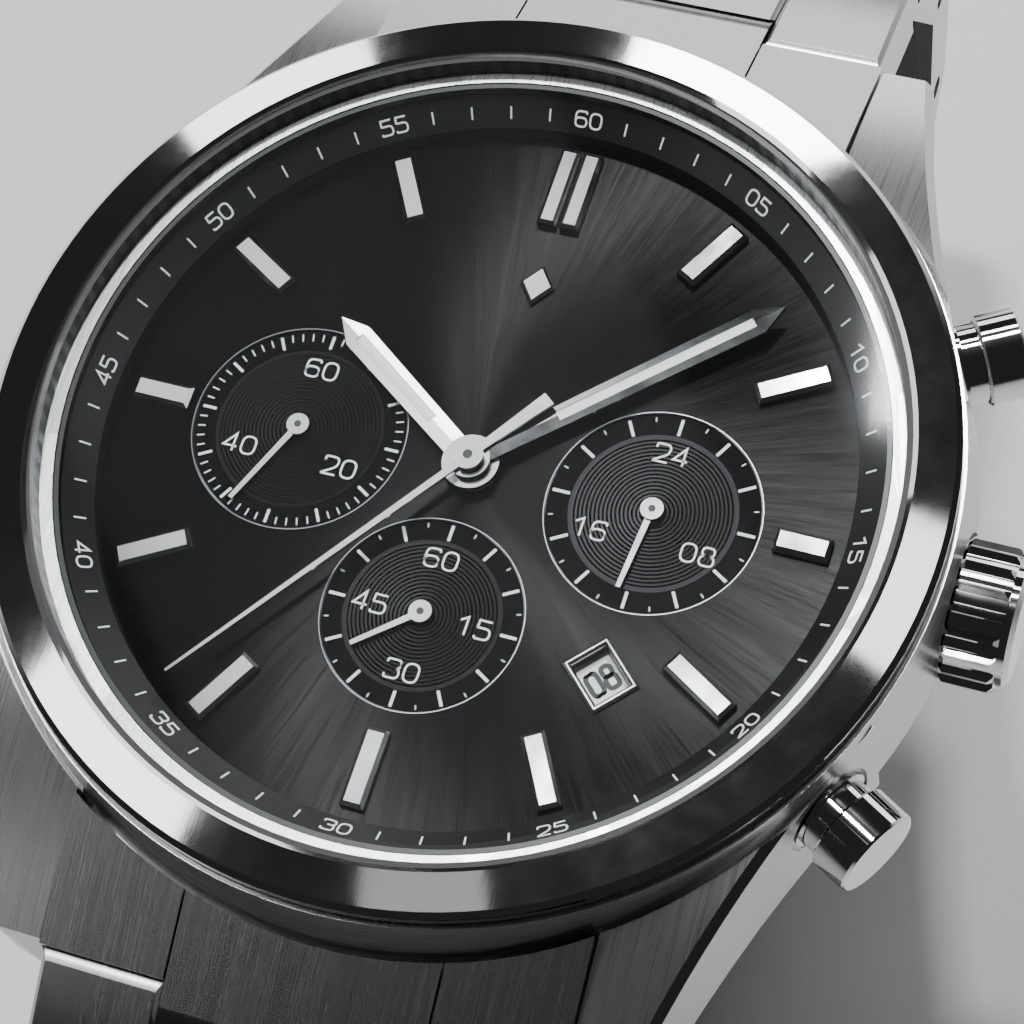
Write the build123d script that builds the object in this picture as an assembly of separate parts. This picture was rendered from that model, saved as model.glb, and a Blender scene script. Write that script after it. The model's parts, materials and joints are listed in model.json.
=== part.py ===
from build123d import *
import os
from math import asin, atan2, cos, degrees, hypot, pi, radians, sin, sqrt

# A steel chronograph wristwatch on a folding-clasp bracelet, in millimetres.
# Origin: centre of the case back's outer face. +Z points out through the dial, +Y to 12 o'clock
# and +X to the crown. The bracelet is closed below the head, as round a wrist.
# A clock angle is measured clockwise from 12 o'clock.

# ---- Case: radii and heights above the case back ----
CASE_TOP_R = 20.1        # top edge of the flank
CASE_R = 20.6            # widest part of the flank
CASE_WIDE_Z = 5.25
CASE_FOOT_R = 19.3
CASE_LOW = 2.2
CASE_HIGH = 9.55
CAVITY_R = 15.95         # bore that takes the movement ring
BACK_THREAD_R = 16.3
BACK_R = 17.6
BACK_FLOOR = 1.3
BEZEL_R = 19.93
BEZEL_BORE = 18.0
BEZEL_HIGH = 10.7
CRYSTAL_R = 17.74
CRYSTAL_HIGH = 11.35
FIT = 0.05               # radial clearance of a turning or sliding fit

# ---- Lugs and bracelet ----
LUG_GAP = 22.0
LUG_TIP = 23.1
SPRING_BAR = (21.45, 4.95)      # distance along Y, and height
SPRING_BAR_R = 0.5
FIRST_HINGE = (23.7, 3.6)       # distance along Y, and height
END_LINK_DROP = 22.0            # slope of the end link, degrees below level
ROW_PITCH = 8.6
ROW_DROPS = (26.0, 58.0, 90.0, 122.0, 154.0)
ROW_HALF_WIDTHS = (10.75, 10.45, 10.1, 9.75, 9.4, 9.0)
CENTRE_HALF = 5.4               # half width of the centre links
KNUCKLE_R = 1.85
KNUCKLE_GAP = 0.1
LINK_TOP = 1.75                 # above the hinge line, at a row's ends
LINK_CROWN = 1.92               # above the hinge line, in mid row
LINK_BOTTOM = -1.45
LINK_BEVEL = 0.2
PIN_R = 0.6
PIN_INSET = 0.4                 # from a pin's end to the side of its row
OPEN_PIN_HALF = CENTRE_HALF     # half length of the pin that stops short of the clasp's lower blade
SIDE_GAP = 0.08
CLASP_ARC_R = 58.0              # radius of the clasp's hinge line

# ---- Controls ----
CROWN_Z = 4.75                  # height of the crown's axis
CROWN_R = 3.0                   # over its ridges
CROWN_ROOT_R = 2.72             # between its ridges
CROWN_FROM = 20.2               # where the ridges start, along the axis
CROWN_TO = 22.45                # and where they end
CROWN_RIDGES = 18
PUSHER_Z = 6.2                  # height of the pusher axes
PUSHER_ANGLE = 29.0             # above and below the crown
PUSHER_CAP_R = 1.92
PUSHER_CAP = (21.27, 23.0)      # its two ends, along the axis
SLEEVE_R = 1.66                 # of the tube that the cap slides over
SLEEVE_END = 21.4
PUSHER_COLLAR = (20.2, 20.45)
TUBE_ROOT = 17.6                # where the crown's and the pushers' tubes start
CROWN_TUBE_R = 1.5
STEM_R = 0.45
STEM_END = 22.2

# ---- Dial side ----
DIAL_R = 16.6
DIAL_LOW = 6.95
DIAL_HIGH = 7.35
SUBDIAL_DEPTH = 0.12
MINUTE_COUNTER = (-7.75, 0.0)
HOUR24_COUNTER = (7.75, 0.0)
SMALL_SECONDS = (0.0, -6.65)
SUBDIALS = ((MINUTE_COUNTER, 4.6), (HOUR24_COUNTER, 4.45), (SMALL_SECONDS, 4.2))
MARKER_OUTER_R = 15.2
MARKER_INNER_R = {3: 12.9, 6: 11.85, 9: 12.65, 12: 11.5}
DATE_ANGLE = 133.0
DATE_R = 10.7
DATE_OPENING = (1.6, 2.0)       # across and along the radius
DATE_FRAME = (2.13, 2.54)
HOUR_ANGLE = 303.95
MINUTE_ANGLE = 47.4
CHRONO_ANGLE = 216.6
MINUTE_COUNTER_ANGLE = 203.6
SMALL_SECONDS_ANGLE = 229.7
HOUR24_ANGLE = 185.7

# ---- Movement: wheel centres, tooth counts and modules ----
PLATE_R = 14.85
PLATE_LOW = 5.0
PLATE_HIGH = 6.45
BRIDGE_LOW = 2.6
BRIDGE_HIGH = 3.0
PIVOT_R = 0.2
CENTRE = (0.0, 0.0)
BARREL_TEETH = 84
BARREL_MODULE = 0.12
BARREL_ANGLE = 110.0            # from the centre wheel, anticlockwise from +X
CENTRE_PINION = 12
CENTRE_TEETH = 80
CENTRE_MODULE = 0.1
THIRD_PINION = 10
THIRD_TEETH = 75
THIRD_MODULE = 0.09
FOURTH_PINION = 10
FOURTH_TEETH = 80
FOURTH_MODULE = 0.08
ESCAPE_PINION = 8
ESCAPE_ANGLE = -20.0            # from the fourth wheel
ESCAPE_TEETH = 20
BALANCE = (8.3, -6.8)
BALANCE_R = 3.6
PILLARS = [(13.3 * cos(radians(a)), 13.3 * sin(radians(a))) for a in (70, 190, 270)]
CANNON_TEETH = 12
MINUTE_WHEEL_TEETH = 36
MINUTE_WHEEL_ANGLE = 60.0
MOTION_MODULE = 0.11
HOUR_WHEEL_TEETH = 48
HOUR_MODULE = 0.088
DATE_TEETH = 31


def polar(radius, angle, at=CENTRE):
    """The point at a radius and an angle, in degrees anticlockwise from +X, about a centre."""
    return at[0] + radius * cos(radians(angle)), at[1] + radius * sin(radians(angle))


def disc(radius, low, high, at=CENTRE):
    """A round plate or shaft standing along Z."""
    standing = (Align.CENTER, Align.CENTER, Align.MIN)
    return Pos(at[0], at[1], low) * Cylinder(radius, high - low, align=standing)


def ring(inner, outer, low, high, at=CENTRE):
    """A round plate with a round hole."""
    return disc(outer, low, high, at) - disc(inner, low, high, at)


def block(x0, x1, y0, y1, z0, z1):
    """A square-cornered block between two corners."""
    return Pos((x0 + x1) / 2, (y0 + y1) / 2, (z0 + z1) / 2) * Box(x1 - x0, y1 - y0, z1 - z0)


def plate(points, low, high):
    """A plate of straight-sided plan outline."""
    face = make_face(Polyline(*points, close=True))
    return extrude(Pos(0, 0, low) * face, amount=high - low, dir=(0, 0, 1))


def turned(*profile):
    """A round piece: its half section, as (radius, height) points, turned about the watch's axis."""
    return revolve(make_face(Plane.XZ * Polyline(*profile, close=True)), Axis.Z)


def side_face(*edges):
    """A face in the side view, from edges drawn in (distance along Y, height)."""
    return make_face([Plane.YZ * edge for edge in edges])


def across(face, x0, x1):
    """A side-view face carried across the watch from x0 to x1."""
    return Pos(x0, 0, 0) * extrude(face, amount=x1 - x0, dir=(1, 0, 0))


def shaft(radius, x0, x1, y=0.0, z=0.0):
    """A round shaft lying along X."""
    lying = (Align.CENTER, Align.CENTER, Align.MIN)
    return Pos(x0, y, z) * Rot(0, 90, 0) * Cylinder(radius, x1 - x0, align=lying)


def tube(inner, outer, x0, x1, y=0.0, z=0.0):
    """A round tube lying along X."""
    return shaft(outer, x0, x1, y, z) - shaft(inner, x0, x1, y, z)


def both_sides(solid):
    """A solid and its mirror image across the 12 to 6 line."""
    return [solid, mirror(solid, Plane.YZ)]


def half_turn(shapes):
    """The same pieces on the 6 o'clock side."""
    return [Rot(0, 0, 180) * shape for shape in shapes]


def save(name, *shapes):
    """Write one piece, or a group of pieces that stay together, as parts/NAME.step."""
    solids = [solid for shape in shapes for solid in shape.solids()]
    whole = solids[0] if len(solids) == 1 else Compound(solids)
    whole.label = name
    export_step(whole, f"parts/{name}.step")


def gear(teeth, module, low, high, at, turn=0.0):
    """A spur wheel with straight-flanked teeth, one of them centred on the angle turn."""
    pitch = 360 / teeth
    root = module * (teeth / 2 - 1.2)
    tip = module * (teeth / 2 + 0.9)
    points = []
    for tooth in range(teeth):
        middle = turn + tooth * pitch
        for radius, side in ((root, -0.3), (tip, -0.1), (tip, 0.1), (root, 0.3)):
            points.append(polar(radius, middle + side * pitch, at))
    return plate(points, low, high)


def mesh_turn(driver_teeth, driver_turn, driver_at, teeth, at):
    """The angle of a wheel's first tooth that puts it in mesh with its driver."""
    towards = degrees(atan2(at[1] - driver_at[1], at[0] - driver_at[0]))
    driver_pitch = 360 / driver_teeth
    behind = (towards - driver_turn) % driver_pitch
    return towards + 180 + behind * driver_teeth / teeth + 180 / teeth


# ---------------------------------------------------------------- case

def lug():
    """The lug beside 1 o'clock: its side view and its plan, cut from one another."""
    half_gap = LUG_GAP / 2
    outer = ThreePointArc((18.95, 7.1), (15.85, 14.4), (13.25, LUG_TIP))
    plan = make_face(
        outer
        + Line((13.25, LUG_TIP), (half_gap, LUG_TIP + 0.7))
        + Line((half_gap, LUG_TIP + 0.7), (half_gap, 7.1))
        + Line((half_gap, 7.1), (18.95, 7.1))
    )
    flank = extrude(plan, amount=12)
    upper = lug_side(0.0)
    lower = lug_side(0.7)
    groove_r = CASE_TOP_R + 0.45
    return flank & (lower + (upper - disc(groove_r, 0, 12)))


def lug_side(sunk):
    """A lug's side view carried across the case, with its top line sunk by a depth."""
    start = (5.0, 9.95 - sunk)
    brow = (LUG_TIP + 0.1, 5.6 - sunk)
    nose = (LUG_TIP + 0.75, 3.3)
    toe = (LUG_TIP - 0.2, 1.35)
    sole = (14.0, 2.0)
    heel = (5.0, CASE_LOW)
    face = side_face(
        ThreePointArc(start, (14.6, 8.42 - sunk), brow),
        Line(brow, nose),
        Line(nose, toe),
        Line(toe, sole),
        Line(sole, heel),
        Line(heel, start),
    )
    return across(face, 0, 22)


def lug_edges(solid):
    """The long edges between a lug's top and its outer flank."""
    tops = [face for face in solid.faces() if face.normal_at().Z > 0.5]
    walls = [face for face in solid.faces() if abs(face.normal_at().Z) < 0.05 and face.normal_at().X > 0.3]
    found = []
    for edge in solid.edges():
        middle = edge @ 0.5
        on_top = any(face.distance_to(middle) < 1e-4 for face in tops)
        on_wall = any(face.distance_to(middle) < 1e-4 for face in walls)
        if on_top and on_wall and hypot(middle.X, middle.Y) > CASE_R + 0.3:
            found.append(edge)
    return found


def pusher_angles():
    """Start above the crown, reset below it."""
    return {"start": PUSHER_ANGLE, "reset": -PUSHER_ANGLE}


def mid_case():
    """The case middle: flank, four lugs, movement bore and the holes of the controls."""
    body = turned(
        (0, CASE_LOW), (CASE_FOOT_R, CASE_LOW), (CASE_R, CASE_WIDE_Z),
        (CASE_TOP_R, CASE_HIGH), (0, CASE_HIGH),
    )
    corner = lug()
    corner = chamfer(lug_edges(corner), 0.35)
    for quarter in both_sides(corner):
        body += quarter
        body += Rot(0, 0, 180) * quarter
    body -= turned(
        (0, 0), (BACK_THREAD_R + FIT, 0), (BACK_THREAD_R + FIT, 3.65), (CAVITY_R, 3.65),
        (CAVITY_R, DIAL_LOW), (DIAL_R + FIT, DIAL_LOW), (DIAL_R + FIT, DIAL_HIGH),
        (17.2, DIAL_HIGH), (17.2, 14), (0, 14),
    )
    body -= disc(BACK_R + 0.1, 0, CASE_LOW)
    body -= ring(16.5, 17.0, CASE_LOW, CASE_LOW + 0.4)
    body -= shaft(CROWN_TUBE_R, TUBE_ROOT, 30, z=CROWN_Z)
    body -= shaft(0.6, 10, 18, z=CROWN_Z)
    body -= shaft(CROWN_R + 0.2, CROWN_FROM - 0.45, 30, z=CROWN_Z)
    for angle in pusher_angles().values():
        bore = shaft(SLEEVE_R, TUBE_ROOT, 30, z=PUSHER_Z) + shaft(0.65, 14, 18, z=PUSHER_Z)
        recess = shaft(PUSHER_CAP_R + 0.15, PUSHER_COLLAR[0], 30, z=PUSHER_Z)
        body -= Rot(0, 0, angle) * (bore + recess)
    bar_y, bar_z = SPRING_BAR
    for y in (bar_y, -bar_y):
        body -= shaft(0.42, -12.1, 12.1, y, bar_z)
    return body


def case_back():
    """The screwed back, with six notches for its key."""
    back = turned(
        (0, 0), (16.9, 0), (BACK_R, 0.6), (BACK_R, CASE_LOW), (BACK_THREAD_R, CASE_LOW),
        (BACK_THREAD_R, 3.6), (15.4, 3.6), (15.4, BACK_FLOOR), (0, BACK_FLOOR),
    )
    for turn in range(6):
        back -= disc(0.9, 0, 1.1, polar(BACK_R + 0.15, 60 * turn))
    return back


def bezel():
    """The polished ring round the crystal, standing on a narrow foot that leaves a dark groove."""
    return turned(
        (BEZEL_BORE, CASE_HIGH), (19.5, CASE_HIGH), (19.5, 9.8), (BEZEL_R, 9.8), (BEZEL_R, 10.3),
        (19.7, 10.52), (18.2, BEZEL_HIGH), (BEZEL_BORE, 10.55),
    )


def crystal():
    """The flat sapphire with a bevelled edge, standing a little above the bezel."""
    return turned(
        (0, CASE_HIGH), (CRYSTAL_R, CASE_HIGH), (CRYSTAL_R, 10.95),
        (CRYSTAL_R - 0.4, CRYSTAL_HIGH), (0, CRYSTAL_HIGH),
    )


def flange_ring():
    """The sloping ring round the dial that carries the minute track."""
    return turned(
        (15.8, DIAL_HIGH), (17.15, DIAL_HIGH), (17.15, 9.5), (16.95, 9.5), (16.95, 9.05),
        (15.8, 8.12),
    )


def case_tubes():
    """The crown tube and the two pusher tubes, pressed into the flank."""
    tubes = [tube(0.6, CROWN_TUBE_R, TUBE_ROOT, 21.2, z=CROWN_Z)]
    for angle in pusher_angles().values():
        sleeve = tube(0.65, SLEEVE_R, TUBE_ROOT, SLEEVE_END, z=PUSHER_Z)
        collar = tube(SLEEVE_R - 0.1, PUSHER_CAP_R - 0.05, *PUSHER_COLLAR, z=PUSHER_Z)
        tubes.append(Rot(0, 0, angle) * (sleeve + collar))
    return tubes


# ---------------------------------------------------------------- controls

def crown():
    """The winding crown: a ridged drum between a smooth collar and a flat face."""
    envelope = shaft(CROWN_R, CROWN_FROM, CROWN_TO, z=CROWN_Z)
    envelope = chamfer(envelope.edges().filter_by(GeomType.CIRCLE), 0.2)
    drum = shaft(CROWN_ROOT_R, CROWN_FROM, CROWN_TO, z=CROWN_Z)
    foot, crest = 0.27, 0.07
    section = make_face(Plane.YZ * Polyline(
        (-foot, CROWN_ROOT_R - 0.1), (-crest, CROWN_R), (crest, CROWN_R), (foot, CROWN_ROOT_R - 0.1), close=True
    ))
    ridge = across(section, CROWN_FROM, CROWN_TO)
    for turn in range(CROWN_RIDGES):
        drum += Pos(0, 0, CROWN_Z) * Rot(360 * turn / CROWN_RIDGES, 0, 0) * ridge
    collar = shaft(2.55, CROWN_FROM - 0.35, CROWN_FROM, z=CROWN_Z)
    rim = shaft(2.6, CROWN_TO, CROWN_TO + 0.3, z=CROWN_Z)
    face = Pos(CROWN_TO + 0.3, 0, CROWN_Z) * Rot(0, 90, 0) * Cone(
        2.6, 2.35, 0.2, align=(Align.CENTER, Align.CENTER, Align.MIN)
    )
    bore = shaft(CROWN_TUBE_R + FIT, 19.8, 21.4, z=CROWN_Z) + shaft(STEM_R, 21.3, STEM_END, z=CROWN_Z)
    return (drum & envelope) + collar + rim + face - bore


def crown_stem():
    """The winding stem, with the groove that the setting lever holds."""
    stem = shaft(STEM_R, 11.0, STEM_END, z=CROWN_Z)
    return stem - tube(0.3, 0.6, 11.95, 12.45, z=CROWN_Z)


def setting_lever():
    """The fork that holds the stem and moves out with it."""
    fork = block(12.0, 12.4, -1.1, 1.1, 4.3, 6.0)
    slot = shaft(0.33, 11.9, 12.5, z=CROWN_Z) + block(11.9, 12.5, -0.33, 0.33, 4.2, CROWN_Z)
    return fork - slot


def pusher(angle):
    """A chronograph pusher: a hollow cap over its tube, on a thin stem."""
    cap = shaft(PUSHER_CAP_R, *PUSHER_CAP, z=PUSHER_Z)
    cap = chamfer(cap.edges().filter_by(GeomType.CIRCLE), 0.1)
    cap -= shaft(SLEEVE_R + FIT, 21.2, 22.48, z=PUSHER_Z)
    return Rot(0, 0, angle) * (cap + shaft(0.6, 16.9, 22.6, z=PUSHER_Z))


def pusher_spring(angle):
    """The return spring inside a pusher cap, as its plain envelope."""
    return Rot(0, 0, angle) * tube(0.7, 1.5, SLEEVE_END + 0.02, 22.45, z=PUSHER_Z)


# ---------------------------------------------------------------- dial and hands

def radial_bar(width, inner, outer, low, high, bevel, shift=0.0):
    """A bevelled bar along +Y between two radii, shifted sideways."""
    bar = block(shift - width / 2, shift + width / 2, inner, outer, low, high)
    return chamfer(bar.faces().sort_by(Axis.Z)[-1].edges(), bevel)


def at_clock(angle, shape):
    """A shape drawn towards 12 o'clock, turned to a clock angle."""
    return Rot(0, 0, -angle) * shape


def dial():
    """The dial plate, with sunk counters, the date window and the hand holes."""
    plate_blank = disc(DIAL_R, DIAL_LOW, DIAL_HIGH) - disc(1.0, DIAL_LOW, DIAL_HIGH)
    for centre, radius in SUBDIALS:
        plate_blank -= disc(radius, DIAL_HIGH - SUBDIAL_DEPTH, DIAL_HIGH + 1, centre)
        plate_blank -= disc(0.28, DIAL_LOW, DIAL_HIGH, centre)
    wide, tall = DATE_OPENING
    window = block(-wide / 2, wide / 2, DATE_R - tall / 2, DATE_R + tall / 2, 6, 8)
    return plate_blank - at_clock(DATE_ANGLE, window)


def date_frame():
    """The bevelled frame round the date window."""
    wide, tall = DATE_FRAME
    frame = block(-wide / 2, wide / 2, DATE_R - tall / 2, DATE_R + tall / 2, DIAL_HIGH, DIAL_HIGH + 0.22)
    wide, tall = DATE_OPENING
    frame -= block(-wide / 2, wide / 2, DATE_R - tall / 2, DATE_R + tall / 2, 7, 8)
    return at_clock(DATE_ANGLE, chamfer(frame.faces().sort_by(Axis.Z)[-1].edges(), 0.1))


def hour_markers():
    """Eleven single batons, a double one at 12, and a plain lozenge below it."""
    low, high = DIAL_HIGH, DIAL_HIGH + 0.5
    pieces = []
    for hour in range(1, 12):
        inner = MARKER_INNER_R.get(hour, 12.0)
        pieces.append(at_clock(30 * hour, radial_bar(1.0, inner, MARKER_OUTER_R, low, high, 0.16)))
    for side in (-0.5, 0.5):
        pieces.append(radial_bar(0.85, MARKER_INNER_R[12], MARKER_OUTER_R, low, high, 0.16, side))
    lozenge = plate([(-0.75, 8.7), (0, 7.75), (0.75, 8.7), (0, 9.65)], low, low + 0.3)
    pieces.append(chamfer(lozenge.faces().sort_by(Axis.Z)[-1].edges(), 0.12))
    return pieces


def faceted_hand(angle, tip, shoulder, root_half, wide_half, slot, hub_r, low):
    """A hand with a ridge along it, a pointed tip and a slot for luminous paint."""
    high = low + 0.26
    outline = [
        (-root_half, 0), (-wide_half, shoulder), (0, tip), (wide_half, shoulder), (root_half, 0),
    ]
    slope = 0.14 / wide_half
    roof = make_face(Plane.XZ * Polyline(
        (-1, low), (1, low), (1, high - slope), (0, high), (-1, high - slope), close=True
    ))
    blade = plate(outline, low, high) & extrude(roof, amount=tip + 1, dir=(0, 1, 0))
    near, far, half = slot
    blade -= block(-half, half, near, far, low + 0.06, high)
    return at_clock(angle, blade) + disc(hub_r, low, high + 0.02)


def counter_hand(centre, angle, length, low):
    """A small hand of a counter: a slim taper on a round hub with a pin hole."""
    blade = plate([(-0.14, 0), (-0.1, length), (0.1, length), (0.14, 0)], low, low + 0.14)
    hub = disc(0.48, low, low + 0.24)
    pin_hole = disc(0.13, low + 0.1, low + 0.3)
    return Pos(centre[0], centre[1], 0) * (at_clock(angle, blade) + hub - pin_hole)


def hour_hand():
    """The hour hand on its pipe."""
    hand = faceted_hand(HOUR_ANGLE, 9.0, 7.9, 0.52, 0.6, (2.6, 7.75, 0.22), 1.2, 7.85)
    return hand + disc(0.9, 7.4, 7.9) - disc(0.61, 7.3, 8.3)


def minute_hand():
    """The minute hand on its pipe."""
    hand = faceted_hand(MINUTE_ANGLE, 14.4, 13.2, 0.44, 0.58, (4.0, 13.0, 0.22), 0.87, 8.2)
    return hand + disc(0.56, 7.9, 8.25) - disc(0.27, 7.8, 8.6)


def chrono_seconds_hand():
    """The long chronograph hand with its widening tail."""
    low = 8.55
    needle = plate([(-0.16, 0), (-0.06, 15.0), (0.06, 15.0), (0.16, 0)], low, low + 0.13)
    tail = plate([(-0.15, 0), (-0.31, -4.1), (0.31, -4.1), (0.15, 0)], low, low + 0.13)
    hub = disc(0.65, low, low + 0.3) - disc(0.17, low + 0.1, low + 0.4)
    hole = disc(0.17, low + 0.1, low + 0.4)
    return at_clock(CHRONO_ANGLE, needle + tail) + hub - hole


# ---------------------------------------------------------------- movement

def circle_meeting(first, first_r, second, second_r):
    """The point at two distances from two centres, on the left of the line between them."""
    dx, dy = second[0] - first[0], second[1] - first[1]
    apart = hypot(dx, dy)
    along = (first_r ** 2 - second_r ** 2 + apart ** 2) / (2 * apart)
    off = sqrt(first_r ** 2 - along ** 2)
    return (
        first[0] + (dx * along + dy * off) / apart,
        first[1] + (dy * along - dx * off) / apart,
    )


def spacing(module, driver, driven):
    """The distance between the centres of two meshed wheels."""
    return module * (driver + driven) / 2


BARREL = polar(spacing(BARREL_MODULE, BARREL_TEETH, CENTRE_PINION), BARREL_ANGLE)
THIRD = circle_meeting(
    CENTRE, spacing(CENTRE_MODULE, CENTRE_TEETH, THIRD_PINION),
    SMALL_SECONDS, spacing(THIRD_MODULE, THIRD_TEETH, FOURTH_PINION),
)
ESCAPE = polar(
    spacing(FOURTH_MODULE, FOURTH_TEETH, ESCAPE_PINION), ESCAPE_ANGLE, SMALL_SECONDS
)
PALLET = (
    ESCAPE[0] + (BALANCE[0] - ESCAPE[0]) * 0.5,
    ESCAPE[1] + (BALANCE[1] - ESCAPE[1]) * 0.5,
)
MINUTE_WHEEL = polar(
    spacing(MOTION_MODULE, CANNON_TEETH, MINUTE_WHEEL_TEETH), MINUTE_WHEEL_ANGLE
)


def going_train():
    """The wheels from the barrel to the escape wheel, in mesh, by name."""
    wheels = {}
    pinion_turn = 0.0
    barrel_turn = mesh_turn(CENTRE_PINION, pinion_turn, CENTRE, BARREL_TEETH, BARREL)
    wheels["barrel"] = (
        gear(BARREL_TEETH, BARREL_MODULE, 3.4, 3.65, BARREL, barrel_turn)
        + disc(4.7, 3.4, 4.4, BARREL) + disc(0.6, 2.75, 5.2, BARREL)
    )
    wheels["centre_wheel"] = (
        gear(CENTRE_PINION, BARREL_MODULE, 3.35, 3.7, CENTRE, pinion_turn)
        + gear(CENTRE_TEETH, CENTRE_MODULE, 4.55, 4.8, CENTRE)
        + disc(0.36, 3.35, 6.1) - disc(0.27, 3.3, 6.2)
    )
    third_turn = mesh_turn(CENTRE_TEETH, 0.0, CENTRE, THIRD_PINION, THIRD)
    wheels["third_wheel"] = (
        gear(THIRD_PINION, CENTRE_MODULE, 4.45, 4.85, THIRD, third_turn)
        + gear(THIRD_TEETH, THIRD_MODULE, 4.1, 4.3, THIRD)
        + disc(PIVOT_R, 2.75, 5.3, THIRD)
    )
    fourth_turn = mesh_turn(THIRD_TEETH, 0.0, THIRD, FOURTH_PINION, SMALL_SECONDS)
    wheels["fourth_wheel"] = (
        gear(FOURTH_PINION, THIRD_MODULE, 4.0, 4.4, SMALL_SECONDS, fourth_turn)
        + gear(FOURTH_TEETH, FOURTH_MODULE, 3.6, 3.8, SMALL_SECONDS)
        + disc(PIVOT_R, 2.75, 7.5, SMALL_SECONDS)
    )
    escape_turn = mesh_turn(FOURTH_TEETH, 0.0, SMALL_SECONDS, ESCAPE_PINION, ESCAPE)
    wheels["escape_wheel"] = (
        gear(ESCAPE_PINION, FOURTH_MODULE, 3.5, 3.9, ESCAPE, escape_turn)
        + escape_teeth() + disc(PIVOT_R, 2.75, 5.3, ESCAPE)
    )
    return wheels


def escape_teeth():
    """The escape wheel's hooked teeth."""
    points = []
    for tooth in range(ESCAPE_TEETH):
        start = 360 * tooth / ESCAPE_TEETH
        points.append(polar(1.35, start, ESCAPE))
        points.append(polar(1.9, start + 3, ESCAPE))
        points.append(polar(1.35, start + 6, ESCAPE))
    return plate(points, 3.15, 3.35)


def pallet_fork():
    """The pallet lever between the escape wheel and the balance."""
    aim = degrees(atan2(BALANCE[1] - PALLET[1], BALANCE[0] - PALLET[0]))
    arm = block(0, 1.9, -0.16, 0.16, 3.15, 3.35)
    cross = block(-0.3, 0.05, -1.3, 1.3, 3.15, 3.35)
    arbor = disc(0.15, 2.75, 3.6)
    return Pos(PALLET[0], PALLET[1], 0) * Rot(0, 0, aim) * (arm + cross + arbor)


def balance_wheel():
    """The balance: rim, two arms and staff."""
    rim = ring(BALANCE_R - 0.4, BALANCE_R, 4.2, 4.6)
    arms = block(-BALANCE_R + 0.2, BALANCE_R - 0.2, -0.25, 0.25, 4.3, 4.5)
    staff = disc(PIVOT_R, 2.75, 5.3)
    return Pos(BALANCE[0], BALANCE[1], 0) * (rim + arms + staff)


def main_plate():
    """The plate that carries the train below and the motion work and date ring above."""
    base = disc(PLATE_R, PLATE_LOW, PLATE_HIGH)
    for pillar in PILLARS:
        base += disc(0.9, BRIDGE_HIGH, PLATE_LOW, pillar)
        base -= disc(0.4, BRIDGE_HIGH, 4.0, pillar)
    base -= disc(4.9, 6.05, PLATE_HIGH)
    base += disc(PIVOT_R, 6.0, 6.85, MINUTE_WHEEL)
    base -= disc(0.4, PLATE_LOW, PLATE_HIGH)
    base -= disc(0.65, 4.9, 5.25, BARREL)
    for centre in (THIRD, ESCAPE, BALANCE):
        base -= disc(PIVOT_R + FIT, 4.9, 5.4, centre)
    for centre in (SMALL_SECONDS, MINUTE_COUNTER, HOUR24_COUNTER):
        base -= disc(PIVOT_R + FIT, 4.9, 6.5, centre)
    base -= disc(2.4, 4.9, 5.3, MINUTE_COUNTER)
    base -= disc(2.4, 4.9, 5.3, HOUR24_COUNTER)
    base -= shaft(0.5, 10.9, 16, z=CROWN_Z)
    return base - block(11.4, 14.3, -1.2, 1.2, 4.9, 6.1)


def train_bridge():
    """The bridge over the train, with the stud of the rotor."""
    bridge = disc(14.5, BRIDGE_LOW, BRIDGE_HIGH) - disc(BALANCE_R + 1.0, 2, 4, BALANCE)
    bridge += disc(0.8, 1.75, BRIDGE_LOW)
    bridge -= disc(0.65, 2.5, 3.1, BARREL)
    for centre in (THIRD, SMALL_SECONDS, ESCAPE):
        bridge -= disc(PIVOT_R + FIT, 2.5, 3.1, centre)
    bridge -= disc(0.2, 2.5, 3.1, PALLET)
    for pillar in PILLARS:
        bridge -= disc(0.4, 2, 4, pillar)
        bridge -= disc(0.8, 2, 2.82, pillar)
    return bridge


def balance_cock():
    """The bar over the balance."""
    aim = degrees(atan2(BALANCE[1], BALANCE[0]))
    bar = Rot(0, 0, aim) * block(hypot(*BALANCE) - 1.0, 15.5, -1.4, 1.4, BRIDGE_LOW, BRIDGE_HIGH)
    foot = Rot(0, 0, aim) * block(14.45, 15.5, -1.4, 1.4, BRIDGE_HIGH, PLATE_LOW)
    rim = disc(PLATE_R, 2, 6)
    return (bar + foot) & rim - disc(PIVOT_R + FIT, 2, 4, BALANCE)


def movement_screws():
    """The three screws that hold the bridge."""
    return [disc(0.78, 2.62, 2.82, at) + disc(0.4, 2.82, 3.9, at) for at in PILLARS]


def rotor():
    """The half-round winding weight."""
    half = block(-16, 16, -16, 0, 1, 3)
    web = disc(14.3, 2.15, 2.45) & half
    rim = ring(12.3, 14.3, 1.55, 2.45) & half
    return web + rim + disc(1.8, 1.75, 2.45) - disc(0.85, 1, 3)


def date_disc():
    """The date ring with its inner teeth."""
    points = []
    for tooth in range(DATE_TEETH):
        start = 360 * tooth / DATE_TEETH
        points += [polar(9.0, start), polar(8.6, start + 3), polar(8.6, start + 5), polar(9.0, start + 8)]
    return disc(12.6, 6.6, 6.8) - plate(points, 6.5, 6.9)


def cannon_pinion():
    """The cannon pinion that carries the minute hand."""
    return gear(CANNON_TEETH, MOTION_MODULE, 6.15, 6.4, CENTRE) + disc(0.56, 6.15, 7.9) - disc(0.27, 6, 8)


def hour_wheel():
    """The hour wheel and its pipe."""
    turn = mesh_turn(CANNON_TEETH, 0.0, MINUTE_WHEEL, HOUR_WHEEL_TEETH, CENTRE)
    wheel = gear(HOUR_WHEEL_TEETH, HOUR_MODULE, 6.5, 6.75, CENTRE, turn)
    return wheel + disc(0.9, 6.5, 7.4) - disc(0.61, 6.4, 7.5)


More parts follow.
